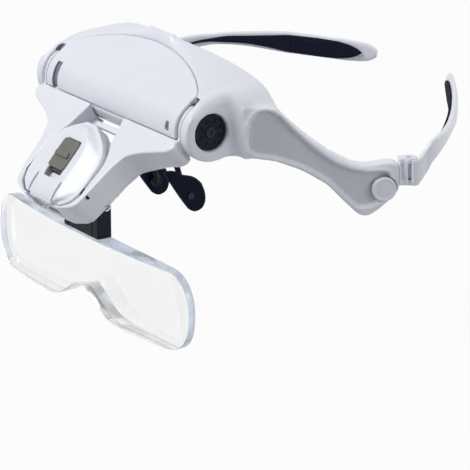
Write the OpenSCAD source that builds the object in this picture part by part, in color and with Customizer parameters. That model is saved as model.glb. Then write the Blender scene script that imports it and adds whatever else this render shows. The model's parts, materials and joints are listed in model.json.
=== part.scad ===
// Lighted headband magnifier: a forehead shell with two side wings and folding
// temple legs, a lens arm that flips up on two side pivots, a tilting two-LED
// lamp on that arm, and one interchangeable acrylic lens in a hinged holder.
// It stands as worn: +X to the wearer's left, the front to -Y, +Z up. The origin
// is under the middle of the whole, level with the lowest points of the lens.

/* [Frame] */
// Height of the arm's pivot axis above the lowest point of the lens
pivot_height = 84.4; // [75:0.1:100]
// Distance of the pivot axis ahead of the middle of the whole
pivot_ahead = 48.9; // [40:0.1:60]

/* [Forehead shell] */
// Radius of the battery tube along the front
tube_r = 11.9; // [11.7:0.1:13]
// Distance from the middle to the centre of each arm slot
slot_x = 49.8; // [49.6:0.1:54]
// Width of each arm slot
slot_w = 3; // [2.8:0.1:4]
// Thickness of the end boss outside each arm slot
boss_w = 5.1; // [4.4:0.1:7]
// Slope of the flat brow panel above the tube
panel_tilt = 36; // [32:1:40]
// Length of the brow panel above the slots, in the middle
arch_rise = 18; // [14:0.5:19]
// Height of the top rim above the pivot axis, in the middle
rim_z = 26.3; // [25:0.1:30]
// Distance of the top rim behind the pivot axis, in the middle
rim_y = 12.7; // [12:0.1:15]
// How far the rim's ends lie behind its middle
rim_sweep = 11.8; // [9:0.1:15]
// Thickness of the brow at the rim
rim_t = 2.4; // [2:0.1:4]
// Rise of the small tab in the middle of the rim
tab_rise = 0.9; // [0.5:0.1:2]
// Half the width of that tab
tab_half = 9.5; // [6:0.5:12]

/* [Battery bay] */
// Thickness of the battery cover
cover_t = 1.6; // [1.2:0.1:2]
// Gap round the battery cover
cover_gap = 0.3; // [0.2:0.05:0.5]
// Diameter of one AAA cell
cell_d = 10.5; // [10:0.1:10.6]
// Length of one AAA cell
cell_l = 44.5; // [43:0.1:44.6]
// Gap round each cell
cell_gap = 0.3; // [0.2:0.05:0.5]
// Thickness of the battery contacts
contact_t = 0.5; // [0.3:0.1:0.8]
// Width of the finger slot in the cover
catch_w = 2.4; // [2:0.1:4]

/* [Wings] */
// Distance from the middle to the wing's outer face at the pivot axis
wing_x0 = 56; // [55.6:0.1:60]
// Angle at which each wing spreads backwards
wing_angle = 27.5; // [24:0.5:30]
// Thickness of the wing
wing_t = 6.8; // [6.4:0.1:8]
// Depth of the recessed panel outside each wing
panel_depth = 0.8; // [0.4:0.1:1]

/* [Leg hinges] */
// Radius of the round release button
button_r = 4.9; // [4:0.1:5]
// How far the release button stands out
button_rise = 1.5; // [1.2:0.1:2]
// Travel of the release button
button_travel = 1; // [0.6:0.1:1.1]
// Distance of the release button along the wing
button_at = 68.6; // [66:0.1:68.8]
// Distance of the leg hinge along the wing
hinge_at = 79; // [78.8:0.1:84]
// Radius of the hinge knuckles
knuckle_r = 3.2; // [3:0.1:3.4]
// Height of the middle knuckle
knuckle_h = 6.2; // [5:0.1:7]
// Radius of the leg hinge pin
leg_pin_r = 1; // [0.8:0.1:1.3]
// Thickness of the link's tongue
tongue_w = 2.4; // [2:0.1:2.6]

/* [Temple legs] */
// Thickness of the leg
leg_t = 2.6; // [2.2:0.1:4]
// Thickness of the soft grip
grip_t = 1.2; // [0.8:0.1:1.6]
// Height of the leg at its narrow part
leg_narrow = 4.6; // [4:0.1:6]
// Height of the leg at its grip
leg_wide = 9.7; // [8:0.1:13]

/* [Forehead pad] */
// Half the width of the forehead pad
pad_half = 48; // [40:0.5:50]
// Thickness of the foam
pad_t = 7.5; // [5:0.5:10]
// Thickness of the frame that holds the foam
frame_t = 1.6; // [1.2:0.1:2]

/* [Lens arm] */
// Slope of the lens arm below the horizontal
arm_tilt = 44; // [42:1:46]
// Distance from the pivot axis to the arm's front face
arm_front = 7.2; // [7:0.1:8]
// Distance from the pivot axis to the arm's top edge
arm_top = 11; // [10.8:0.1:12]
// Length of the arm below its top edge
arm_l = 45.2; // [45:0.1:47]
// Depth of the arm without its rear cover
arm_d = 11; // [10.5:0.1:12]
// Thickness of the arm's front wall
arm_wall = 2; // [1.6:0.1:2.4]
// Thickness of the arm's rear cover
rear_t = 1.4; // [1.2:0.1:1.8]
// Width of the arm's side rails beside the lamp
rail_w = 5.6; // [5:0.1:7]
// Thickness of the arm's flanges in the slots
flange_w = 2.1; // [1.8:0.1:2.2]
// Radius of the pivot shafts
shaft_r = 3.2; // [2.8:0.1:3.6]
// Radius of the black pivot caps
cap_r = 7.5; // [6.5:0.1:8]
// Farthest that the arm flips up
flip_max = 72; // [60:1:74]

/* [Lamp] */
// Distance from the arm's top edge to the lamp pivot
lamp_down = 35.2; // [35:0.1:35.6]
// Depth of the lamp pivot below the arm's front face
lamp_sink = 1.6; // [1.4:0.1:2]
// Angle of the lamp out of the arm, as shown
lamp_out = 4; // [0:1:6]
// Half the width of the lamp
lamp_half = 20.1; // [19.6:0.1:20.4]
// Height of the lamp's ridge above its pivot
ridge_z = 4.2; // [3.8:0.1:5]
// Height of the lamp's shoulders above its pivot
shoulder_z = 1.8; // [1.6:0.1:2.4]
// Depth of the joint between the lamp's covers
parting_z = 2.2; // [2:0.1:2.4]
// Depth of the lamp below its pivot
lamp_d = 6; // [5.6:0.1:6.4]
// Wall of the lamp covers
lamp_wall = 1.3; // [1:0.1:1.4]
// Gap between the lamp and the arm
lamp_gap = 0.6; // [0.5:0.05:0.8]
// Radius of the lamp pivot pins
lamp_pin_r = 1; // [0.8:0.1:1.1]
// Diameter of each LED
led_d = 3; // [2.5:0.1:3.4]
// Half the distance between the LEDs
led_half = 3.4; // [3:0.1:4.5]
// Half the width of the lamp's LED nose
nose_half = 8.8; // [7.5:0.1:9]
// Half the width of the switch button
slider_half = 4.7; // [4:0.1:5]
// Length of the switch button
slider_l = 14.2; // [10:0.1:14.4]
// Travel of the switch
switch_travel = 3; // [2:0.1:3]

/* [Lens and holder] */
// Half the width of the lens
lens_half = 71.7; // [66:0.1:80]
// Height of the lens from its top edge to its lobes
lens_h = 33; // [30:0.5:33]
// Rise of the notch in the middle of the lens's lower edge
lens_notch = 11; // [8:0.5:14]
// Thickness of the lens in the middle
lens_t = 8.4; // [7:0.1:9]
// How much thinner the lens is at its ends
lens_thin = 5.3; // [4:0.1:6]
// Half the width of the lens holder
holder_half = 12.9; // [11:0.1:13]
// Thickness of the lens holder
holder_t = 6.6; // [6:0.1:7]
// Height of the lens holder from the lens to its pin
holder_h = 20.7; // [20:0.1:22]
// Half the width of the lens's tongue
tongue_half = 8; // [6:0.1:9]
// Height of the lens's tongue
tongue_h = 7.6; // [5:0.1:9]
// Thickness of the lens's tongue
tongue_t = 2.6; // [2:0.1:2.8]
// Radius of the holder's pin
holder_pin_r = 1; // [0.8:0.1:1.1]

/* [Nose rest] */
// Half the distance between the inner faces of the nose pads
nose_in = 12.2; // [10:0.1:15]
// Thickness of the nose pads
nose_t = 2.6; // [2:0.1:4]
// Width of the nose bracket
bracket_w = 18; // [16:0.5:22]

/* [Fits] */
// Gap between a shaft and its bore, on the radius
run_fit = 0.05; // [0.03:0.01:0.1]
// Gap between seated pieces
seat_gap = 0.15; // [0.1:0.01:0.2]
// Gap between moving pieces
free_gap = 0.35; // [0.3:0.05:0.4]

/* [Hidden] */
$fn = 64;
eps = 0.01;

white = [0.9, 0.9, 0.93];
black = [0.14, 0.15, 0.2];
steel = [0.7, 0.71, 0.74];
foam = [0.16, 0.17, 0.22];

// Derived places of the shell
slot_in = slot_x - slot_w / 2;
slot_out = slot_x + slot_w / 2;
boss_x = slot_out + boss_w;
panel_a = 90 - panel_tilt;
notch_t = 4.7;
cover_half = slot_in - 0.5;
cover_low = -14;
lid_floor = cover_t + seat_gap;
bay_r = cell_d / 2 + cell_gap;
bay_half = cell_l + contact_t + 0.6;
upper_depth = tube_r - lid_floor - cell_d / 2 - cell_gap;
upper_along = cell_d + 1;
// Farthest section of the shell's middle, inside the wings
core_half = wing_x0 + 7.5;
body_bottom = -10.5;

// A point at a distance from the pivot axis, at an angle up from the front: [y, z]
function around(r, a) = [-r * cos(a), r * sin(a)];
// A point on the brow panel, from where it leaves the tube, sunk by a depth
function on_panel(t, depth = 0) =
  around(tube_r - depth, panel_a) + t * [cos(panel_tilt), sin(panel_tilt)];
// Length of the brow panel at a distance from the middle
function arch_t(x) = notch_t + arch_rise * pow(max(0, 1 - pow(x / slot_x, 2)), 0.75);
// Place of the rim and of the shell's back at a distance from the middle
function rim_back(x) = rim_y + rim_sweep * (1 - cos(180 * min(1, abs(x) / 63))) / 2;
function rim_top(x) = rim_z - 0.0037 * x * x + (abs(x) < tab_half ? tab_rise : 0);
function shell_back(x) = rim_back(x) + rim_t;
// A point between the panel's upper edge and the rim, swelling outwards a little
function crown(x, f) = let (
    a = on_panel(arch_t(x)), b = [rim_back(x), rim_top(x)], d = b - a)
  a + f * d + 0.24 * f * (1 - f) * [-d[1], d[0]];
// Foremost place of the shell's middle where it runs inside the wing
function wing_front(x) = x > boss_x ? (x - wing_x0) / tan(wing_angle) + 0.4 : -100;

// Sections of the shell's middle, from the bottom round the front to the back
low_angles = [-90, -78, -66, -54, -42, -32, -23];
high_angles = [-12.5, -4, 6, 16, 26, 35, 43, 49];
function shell_section(x) = let (
    lid = abs(x) < cover_half + cover_gap ? lid_floor : 0,
    front = wing_front(abs(x)),
    t = arch_t(x))
  let (outline = concat(
      [[shell_back(x), body_bottom], [max(shell_back(x) / 2, front + 3), body_bottom - 1]],
      [for (a = low_angles) around(tube_r, a)],
      [around(tube_r, cover_low - 3), around(tube_r - lid, cover_low - 1.5)],
      [for (a = high_angles) around(tube_r - lid, a)],
      [on_panel(0, lid), on_panel((t - cover_gap) / 2, lid), on_panel(t - cover_gap, lid)],
      [on_panel(t)],
      [for (f = [0.2, 0.4, 0.6, 0.8, 0.93]) crown(x, f)],
      [[rim_back(x) + 0.5, rim_top(x)], [rim_back(x) + rim_t - 0.5, rim_top(x)]],
      [[shell_back(x), rim_top(x) - 1]],
      [[shell_back(x), rim_top(x) / 2], [shell_back(x), 0]]))
  [for (k = [0:len(outline) - 1]) [x, max(outline[k][0], front + 0.06 * k), outline[k][1]]];

step = 0.05;
half_stations = [
  5, tab_half - 0.1, tab_half + 0.1, 14, 20, 26, 31, 35.5, 39, 42, 44.5, 46.5,
  cover_half + cover_gap - step, cover_half + cover_gap + step, slot_x, slot_out + 0.6,
  boss_x - step, boss_x + step, (boss_x + core_half) / 2, core_half];
stations = concat([for (i = [len(half_stations) - 1:-1:0]) -half_stations[i]], [0],
                  half_stations);

// Closed skin over sections with the same number of points
module skin(sections, flip = false) {
  n = len(sections);
  m = len(sections[0]);
  quads = [for (i = [0:n - 2], j = [0:m - 1]) each [
      [i * m + j, i * m + (j + 1) % m, (i + 1) * m + (j + 1) % m],
      [i * m + j, (i + 1) * m + (j + 1) % m, (i + 1) * m + j]]];
  ends = [[for (j = [m - 1:-1:0]) j], [for (j = [0:m - 1]) (n - 1) * m + j]];
  all = concat(quads, ends);
  polyhedron(points = [for (s = sections) each s],
             faces = flip ? [for (f = all) [for (k = [len(f) - 1:-1:0]) f[k]]] : all,
             convexity = 8);
}

module at_pivot() { translate([0, -pivot_ahead, pivot_height]) children(); }
// Both sides, as mirror images
module both() { children(); mirror([1, 0, 0]) children(); }
module side(s) { if (s > 0) children(); else mirror([1, 0, 0]) children(); }
// A round bar or bore along X, from one distance to another
module bar(r, x0, x1, y = 0, z = 0) {
  translate([x0, y, z]) rotate([0, 90, 0]) cylinder(r = r, h = x1 - x0);
}
// Wedge of a disc about the pivot axis, between two angles up from the front
module sector(r, x0, x1, a0, a1) {
  steps = 12;
  intersection() {
    bar(r, x0, x1);
    translate([x0 - 1, 0, 0]) rotate([90, 0, 90]) linear_extrude(x1 - x0 + 2)
      polygon(concat([[0, 0]], [for (i = [0:steps]) around(2 * r, a0 + (a1 - a0) * i / steps)]));
  }
}
// Directions of the wing: x out of its outer face, y along it from the pivot axis
module wing_space() { translate([wing_x0, 0, 0]) rotate([0, 0, -wing_angle]) children(); }
// Plate standing on edge: points are [along y, z], and it runs from one x to another
module upright(points, x0, x1) {
  translate([x0, 0, 0]) rotate([90, 0, 90]) linear_extrude(x1 - x0) polygon(points);
}

/* Outline of the wing, along it and up from the pivot axis */
wing_low = [[0.6, -11], [13, -10.8], [25, -12.6], [36, -17], [46, -23.2], [53.5, -31.2],
            [58.4, -36], [61.2, -37], [64, -36.2], [70.5, -31.2]];
wing_high = [[70, -14.8], [65.5, -15.6], [60.5, -16], [55.7, -15], [47.6, -10.6],
             [39.3, -4.5], [31.4, 2.5], [25.3, 8.8], [18, 10], [0.6, 10]];
tongue_end = button_at - 5.5;
wing_stop = hinge_at - knuckle_r - 1.2;
wing_end = [[wing_stop, -27], [wing_stop, -15.6]];
recess_low = [[15, 4], [13.2, -4], [14, -7.5], [16.5, -9.2], [25, -11], [36, -14.8],
              [46, -20.9], [55, -30], [58.8, -33.4], [61.6, -33]];
recess_high = [[62, -18.6], [56, -17.4], [48, -13.8], [40, -7.6], [32, 0.2], [27, 5.8],
               [22.5, 8.2], [18, 8]];
link_z = -19.3;
button_z = link_z - 6.4;
socket_low = link_z - 4;
socket_high = link_z + 2.6;
seat_floor = -panel_depth - button_travel - 0.8;
tongue_x = seat_floor - 0.5 - seat_gap - tongue_w / 2;

module wing() {
  wing_space() difference() {
    upright(concat(wing_low, wing_end, wing_high), -wing_t, 0);
    upright(concat(recess_low, recess_high), -panel_depth, 1);
    // Seat of the release button, open to the outside
    bar(button_r + free_gap, seat_floor, 1, button_at, button_z);
    // Socket of the link's tongue
    translate([tongue_x - tongue_w / 2 - seat_gap, tongue_end - seat_gap, socket_low])
      cube([tongue_w + 2 * seat_gap, 30, socket_high - socket_low]);
  }
}

module slot_cut() {
  sector(tube_r + 2, slot_in, slot_out, -76, 75.5);
  sector(tube_r - 0.2, slot_in, slot_out, 75, 68 + flip_max + 6);
  bar(shaft_r + 2.4, slot_in, slot_out);
  bar(shaft_r + run_fit, slot_in, boss_x + 1);
  bar(cap_r + 0.6, slot_out + 2.1, boss_x + 1);
  // Round hole at the slot's upper end
  at = on_panel(notch_t - 0.6);
  translate([slot_x, at[0], at[1]]) rotate([panel_tilt, 0, 0]) translate([0, 0, -2.5])
    cylinder(r = 1.7, h = 5);
}

// Hollow in the wing's outer face, which leaves the pivot cap in sight
module scoop() {
  translate([0, 0, -20]) linear_extrude(40) polygon([
    [boss_x + 0.05, -3], [boss_x + 0.05, cap_r - 0.5], [boss_x + 0.4, cap_r + 0.6],
    [boss_x + 1.1, cap_r + 1.4], [boss_x + 2.5, cap_r + 2.2], [boss_x + 4.8, cap_r + 3],
    [boss_x + 7, cap_r + 3.4], [boss_x + 14, cap_r + 3.6], [boss_x + 14, -3]]);
}

module battery_bays() {
  bar(bay_r, -bay_half, bay_half);
  rotate([panel_tilt, 0, 0]) translate([-bay_half, -bay_r, 0]) cube([2 * bay_half, 2 * bay_r, 20]);
  rotate([panel_tilt, 0, 0]) translate([0, upper_along, upper_depth]) {
    half = cell_l / 2 + contact_t + 0.6;
    bar(bay_r, -half, half);
    translate([-half, -bay_r, 0]) cube([2 * half, 2 * bay_r, 20]);
  }
}

module head_shell() {
  color(white) at_pivot() difference() {
    union() {
      intersection() {
        skin([for (x = stations) shell_section(x)]);
        // Square ends, inside the wings
        translate([1.5 - core_half, -50, -50]) cube([2 * core_half - 3, 100, 100]);
      }
      both() wing();
    }
    both() slot_cut();
    battery_bays();
    both() scoop();
    // Hollow ends of the brow, closed by the pad's frame
    both() translate([24.8, 7.5, -7.5]) cube([18, 60, 14]);
  }
}

cover_sections = [for (i = [-8:8]) let (
    x = cover_half * sin(90 * i / 8),
    t = arch_t(x) - 2 * cover_gap)
  [for (p = concat(
      [for (a = concat([cover_low], high_angles)) around(tube_r, a)],
      [for (f = [0, 0.5, 1]) on_panel(t * f)],
      [for (f = [1, 0.5, 0]) on_panel(t * f, cover_t)],
      [for (k = [len(high_angles) - 1:-1:0]) around(tube_r - cover_t, high_angles[k])],
      [around(tube_r - cover_t, cover_low)]))
    [x, p[0], p[1]]]];

module battery_cover() {
  color(white) at_pivot() difference() {
    skin(cover_sections);
    // Curved finger slot near one end, and the small catch window near the other
    difference() {
      sector(tube_r + 2, -42.4, -42.4 + catch_w, cover_low - 4, 44);
      bar(tube_r - 1, -44, -38);
    }
    translate([44, -tube_r - 1, 0]) cube([1.1, 2.2, 3.4]);
  }
}

// One cell along X, from its flat end
module cell(x0) {
  bar(cell_d / 2, x0, x0 + cell_l - 1);
  bar(1.9, x0 + cell_l - 1 - eps, x0 + cell_l);
}
module battery_cells() {
  color("goldenrod") at_pivot() {
    cell(-cell_l - 0.1);
    cell(0.1);
    rotate([panel_tilt, 0, 0]) translate([0, upper_along, upper_depth]) cell(-cell_l / 2);
  }
}
module battery_contacts() {
  color(steel) at_pivot() {
    both() translate([bay_half - contact_t - 0.1, -3, -4]) cube([contact_t, 6, 8]);
    rotate([panel_tilt, 0, 0]) translate([0, upper_along, upper_depth])
      both() translate([cell_l / 2 + 0.35, -3, -4]) cube([contact_t, 6, 8]);
  }
}

// Frame behind the brow: a curved plate with a raised edge round the foam
function frame_top(x) = rim_top(x) - (abs(x) < tab_half ? tab_rise : 0) - 2.6;
function frame_low(x) = body_bottom + 1.2 + 0.0012 * x * x;
frame_half = pad_half + 3.5;
frame_sections = [for (i = [-10:10]) let (
    x = frame_half * i / 10, y0 = shell_back(x) + 0.1, y1 = y0 + frame_t)
  [[x, y0, frame_low(x)], [x, y0, frame_top(x)], [x, y1, frame_top(x)], [x, y1, frame_low(x)]]];
module pad_frame() {
  color(white) at_pivot() {
    skin(frame_sections);
  }
}

// Foam pad: a crowned cushion that follows the frame, drawn in at its ends
pad_ring = 20;
pad_steps = 24;
function pad_top(x) = 19.6 - 0.0042 * x * x;
function pad_low(x) = -8.2 + 0.0016 * x * x;
function swell(c, e) = sign(c) * pow(abs(c), e);
function pad_section(x) = let (
    k = pow(max(0, 1 - pow(abs(x) / pad_half, 5)), 0.5),
    h = (pad_top(x) - pad_low(x)) / 2 * (0.35 + 0.65 * k),
    t = pad_t / 2 * (0.3 + 0.7 * k),
    y = shell_back(x) + 0.1 + frame_t + 0.3 + t,
    z = (pad_top(x) + pad_low(x)) / 2)
  [for (j = [0:pad_ring - 1]) let (a = 360 * j / pad_ring)
    [x, y + t * swell(cos(a), 0.7), z + h * swell(sin(a), 0.6)]];
module forehead_pad() {
  color(foam) at_pivot()
    skin([for (i = [0:pad_steps]) pad_section(pad_half * sin(-90 + 180 * i / pad_steps) * 0.998)],
         true);
}

// Nose rest under the middle of the shell
bracket_y = 8.4;
bracket_t = 3.2;
bracket_low = -21;
nose_pin = [17.6, -40];
nose_outline = [[5, -27.8], [10.8, -28.4], [13.8, -30.6], [20, -32.4], [23.4, -35.4],
                [25.3, -40.2], [25.3, -44.2], [23.8, -46.6], [20.4, -47.6], [18, -46.6],
                [13.4, -40.4]];
module nose_bracket() {
  color(black) at_pivot() translate([-bracket_w / 2, bracket_y, bracket_low])
    cube([bracket_w, bracket_t, -bracket_low + body_bottom - 0.9]);
}
module nose_arms() {
  color(black) at_pivot() both() difference() {
    union() {
      hull() {
        translate([6.5, bracket_y + bracket_t + 1.4, bracket_low + 3]) sphere(r = 1.3, $fn = 16);
        translate([nose_in - 1.7, nose_pin[0], nose_pin[1]]) sphere(r = 1.2, $fn = 16);
      }
      bar(2.4, nose_in - 2.4, nose_in - 0.3, nose_pin[0], nose_pin[1]);
    }
    bar(0.8, nose_in - 4, nose_in, nose_pin[0], nose_pin[1]);
  }
}
module nose_pins() {
  color(steel) at_pivot() both() {
    bar(0.8 - run_fit / 2, nose_in - 3, nose_in + nose_t, nose_pin[0], nose_pin[1]);
    bar(1.5, nose_in + nose_t + 0.05, nose_in + nose_t + 0.65, nose_pin[0], nose_pin[1]);
  }
}
module nose_pad(s) {
  color(black) at_pivot() side(s) difference() {
    upright(nose_outline, nose_in, nose_in + nose_t);
    bar(0.8 + run_fit, nose_in - 1, nose_in + nose_t + 1, nose_pin[0], nose_pin[1]);
  }
}

// Leg hinge at the end of each wing
hinge_x = -wing_t / 2;
ear_h = 2.2;
link_back = hinge_at - knuckle_r - 0.3;
ear_top = link_z + knuckle_h / 2 + 0.25;
ear_low = link_z - knuckle_h / 2 - 0.25;
module leg_link(s) {
  color(white) at_pivot() side(s) wing_space() difference() {
    union() {
      for (z = [ear_top, ear_low - ear_h]) {
        translate([hinge_x, hinge_at, z]) cylinder(r = knuckle_r, h = ear_h);
        translate([hinge_x - knuckle_r + 0.5, wing_stop + seat_gap, z])
          cube([2 * knuckle_r - 1, hinge_at - wing_stop - seat_gap, ear_h]);
      }
      translate([hinge_x - knuckle_r + 0.5, wing_stop + seat_gap, ear_low - ear_h])
        cube([2 * knuckle_r - 1, link_back - wing_stop - seat_gap, ear_top - ear_low + 2 * ear_h]);
      translate([tongue_x - tongue_w / 2, tongue_end, socket_low + seat_gap])
        cube([tongue_w, link_back - tongue_end, socket_high - socket_low - 2 * seat_gap]);
    }
    translate([hinge_x, hinge_at, ear_low - ear_h - 1])
      cylinder(r = leg_pin_r, h = ear_top - ear_low + 2 * ear_h + 2);
  }
}
module hinge_pin(s) {
  color(steel) at_pivot() side(s) wing_space()
    translate([hinge_x, hinge_at, ear_low - ear_h])
      cylinder(r = leg_pin_r - 0.02, h = ear_top - ear_low + 2 * ear_h);
}
button_back = -panel_depth - free_gap;
module release_button(s) {
  color(white) at_pivot() side(s) wing_space() difference() {
    bar(button_r, button_back, button_rise, button_at, button_z);
    bar(button_r - 1.3, button_rise - 0.4, button_rise + 1, button_at, button_z);
  }
}
module button_springs() {
  color(steel) at_pivot() both() wing_space()
    difference() {
      bar(3.6, seat_floor + 0.03, button_back - button_travel - 0.07, button_at, button_z);
      bar(2.4, seat_floor - 1, 1, button_at, button_z);
    }
}

// Centre line of a temple leg, in pivot axes, from its hinge to its tip
hinge_p = [wing_x0 + hinge_x * cos(wing_angle) + hinge_at * sin(wing_angle),
           -hinge_x * sin(wing_angle) + hinge_at * cos(wing_angle), link_z];
leg_line = [hinge_p, [100, 88.5, -1], [61.4, 117, -8.4], [24.4, 141.6, -8.5]];
function blend(p, t) = pow(1 - t, 3) * p[0] + 3 * pow(1 - t, 2) * t * p[1]
  + 3 * (1 - t) * t * t * p[2] + pow(t, 3) * p[3];
function heading(p, t) = let (
    d = 3 * pow(1 - t, 2) * (p[1] - p[0]) + 6 * (1 - t) * t * (p[2] - p[1])
      + 3 * t * t * (p[3] - p[2]))
  [d[0], d[1]] / norm([d[0], d[1]]);
// Height of the leg along its length
leg_heights = [[0, knuckle_h - 0.6], [0.05, knuckle_h - 0.6], [0.062, 10.6], [0.08, 10],
               [0.12, 8.4], [0.17, 6.9], [0.22, 6], [0.3, 5.2], [0.38, leg_narrow],
               [0.52, 6.4], [0.68, leg_wide], [0.9, leg_wide - 0.1], [0.96, 8.4],
               [0.98, 6.8], [1, 3.4]];
function leg_height(t) = lookup(t, leg_heights);
// Section across the leg, from one distance off the centre line to another
function leg_section(t, inner, outer, share) = let (
    c = blend(leg_line, t), d = heading(leg_line, t), out = [d[1], -d[0]],
    z = t < 0.055 ? link_z : c[2] + (link_z - c[2]) * max(0, 1 - (t - 0.03) / 0.12),
    h = leg_height(t) / 2 * share)
  [for (q = [[outer, -0.7], [outer, 0.7], [outer * 0.7 + inner * 0.3, 1],
             [outer * 0.3 + inner * 0.7, 1], [inner, 0.7], [inner, -0.7],
             [outer * 0.3 + inner * 0.7, -1], [outer * 0.7 + inner * 0.3, -1]])
    [c[0] + out[0] * q[0], c[1] + out[1] * q[0], z + h * q[1]]];
// Places along the leg, from the grip's start to its end
grip_places = [0.26, 0.3, 0.38, 0.46, 0.54, 0.61, 0.68, 0.76, 0.84, 0.9, 0.94, 0.96];
module temple_leg(s) {
  color(white) at_pivot() side(s) difference() {
    union() {
      skin([for (t = concat([0.02, 0.05, 0.062, 0.08, 0.12, 0.17, 0.22], grip_places, [0.98, 1]))
        leg_section(t, 0, leg_t, 1)]);
      translate([hinge_p[0], hinge_p[1], link_z - knuckle_h / 2])
        cylinder(r = knuckle_r, h = knuckle_h);
    }
    translate([hinge_p[0], hinge_p[1], link_z - knuckle_h])
      cylinder(r = leg_pin_r + run_fit, h = 2 * knuckle_h);
  }
}
module leg_grip(s) {
  color(black) at_pivot() side(s)
    skin([for (t = grip_places)
      leg_section(t, -grip_t, -0.05, t < grip_places[1] ? 0.3 : 0.82)]);
}

// Arm space: x across, y up its slope, z out of its front face, from the pivot
module arm_space() { at_pivot() rotate([arm_tilt, 0, 0]) children(); }
// Slab across the arm: half widths and distances down from its top edge
function across(half) = concat(
  [for (p = half) [p[0], -arm_top - p[1]]],
  [for (i = [len(half) - 1:-1:0]) [-half[i][0], -arm_top - half[i][1]]]);
module slab(half, z0, z1) {
  translate([0, 0, arm_front + z0]) linear_extrude(z1 - z0) polygon(across(half));
}
rail_half = lamp_half + lamp_gap + rail_w;
arm_outline = [[slot_in + 0.9, -0.6], [slot_out + 0.2, 1.7], [slot_out + 0.4, 3.2],
               [slot_in + 1, 5.7], [36, 10.3], [29.2, 14], [rail_half, 21.2],
               [rail_half - 1.7, 31.8], [rail_half - 3.6, lamp_down + 5.1],
               [rail_half - 6.2, arm_l - 2.4], [12.4, arm_l]];
lamp_window = [[12.2, -5], [12.2, 0], [15.8, 12], [18.9, 16.4],
               [lamp_half + lamp_gap, 21.6], [lamp_half + lamp_gap, lamp_down + 1],
               [18.4, lamp_down + 5.6], [13.6, arm_l - 1.3]];
arm_pocket = [[18, 6.2], [42, 6.2], [34, 8.6], [27.6, 11.8], [25, 15.5], [22, 15.5]];
screw_spots = [[24.3, -24.5], [rail_half - 3.7, -43.5]];
flange_in = slot_in + 0.2;
nose_room = nose_half + lamp_gap + 1;

module lens_arm() {
  color(white) arm_space() difference() {
    union() {
      difference() {
        slab(arm_outline, -arm_d, 0);
        slab(lamp_window, -arm_d - 1, 1);
        bar(tube_r + free_gap, -boss_x - 5, boss_x + 5);
        both() translate([0, 0, arm_front - arm_d - 1]) linear_extrude(arm_d + 1 - arm_wall)
          polygon([for (p = arm_pocket) [p[0], -arm_top - p[1]]]);
        // Room for the LED nose, open below
        translate([-nose_room, -arm_top - arm_l - 1, arm_front - 9.5])
          cube([2 * nose_room, 8, 10.5]);
      }
      // Crossbar behind the lamp's tip, and the post under it
      translate([-16.4, -arm_top - 5.4, arm_front - 9.5]) cube([32.8, 2.6, 2.6]);
      both() {
        // Flange that turns in the slot, with its root, hub and shaft
        rotate([-arm_tilt, 0, 0]) difference() {
          union() {
            sector(tube_r - 0.5, flange_in, flange_in + flange_w, -62, 68);
            sector(tube_r + 2, flange_in, flange_in + flange_w, -50, -13);
          }
          bar(shaft_r + 1, flange_in - 1, flange_in + flange_w + 1);
        }
        bar(shaft_r + 1.6, flange_in, flange_in + flange_w);
        bar(shaft_r, flange_in, slot_out + 2.6);
      }
    }
    both() {
      bar(0.9, flange_in - 1, slot_out + 5);
      bar(lamp_pin_r, lamp_half, rail_half - 2.2, -arm_top - lamp_down, arm_front - lamp_sink);
      for (p = screw_spots) translate([p[0], p[1], arm_front - arm_d - 1])
        cylinder(r = 0.8, h = 6);
    }
  }
}

// Rear cover of the arm, with the two ears of the lens holder's hinge
rear_outline = [[40, 7.6], [34.5, 10.6], [28.6, 14.2], [rail_half - 0.5, 21.2],
                [rail_half - 2.2, 31.8], [rail_half - 4.2, lamp_down + 5.1],
                [rail_half - 6.8, arm_l - 2.8], [12.4, arm_l - 0.5]];
rear_window = [[14.6, 0], [14.6, 12], [11, 16.6]];
holder_at = [-21.2, -30.7];
ear_in = holder_half + 0.5;
ear_w = 2.2;
function into_arm(p) = [p[0] * cos(arm_tilt) + p[1] * sin(arm_tilt),
                        -p[0] * sin(arm_tilt) + p[1] * cos(arm_tilt)];
holder_in_arm = into_arm(holder_at);
rear_z = -arm_d - seat_gap / 2;
module arm_rear_cover() {
  color(white) arm_space() difference() {
    union() {
      difference() {
        slab(rear_outline, rear_z - rear_t, rear_z);
        slab(rear_window, rear_z - rear_t - 1, rear_z + 1);
        bar(tube_r + free_gap, -boss_x, boss_x);
      }
      both() {
        bar(2.3, ear_in, ear_in + ear_w, holder_in_arm[0], holder_in_arm[1]);
        translate([ear_in, holder_in_arm[0] - 2.3, holder_in_arm[1]])
          cube([ear_w, 4.6, arm_front + rear_z - rear_t - holder_in_arm[1] + 0.2]);
      }
    }
    bar(holder_pin_r, -ear_in - 5, ear_in + 5, holder_in_arm[0], holder_in_arm[1]);
    both() for (p = screw_spots) translate([p[0], p[1], arm_front + rear_z - rear_t - 1])
      cylinder(r = 1.1, h = 6);
  }
}
module arm_screws() {
  color(steel) arm_space() both() for (p = screw_spots)
    translate([p[0], p[1], arm_front + rear_z - rear_t]) {
      translate([0, 0, -0.85]) cylinder(r = 1.8, h = 0.8);
      translate([0, 0, -0.1]) cylinder(r = 0.78, h = rear_t + 3.5);
    }
}

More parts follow.
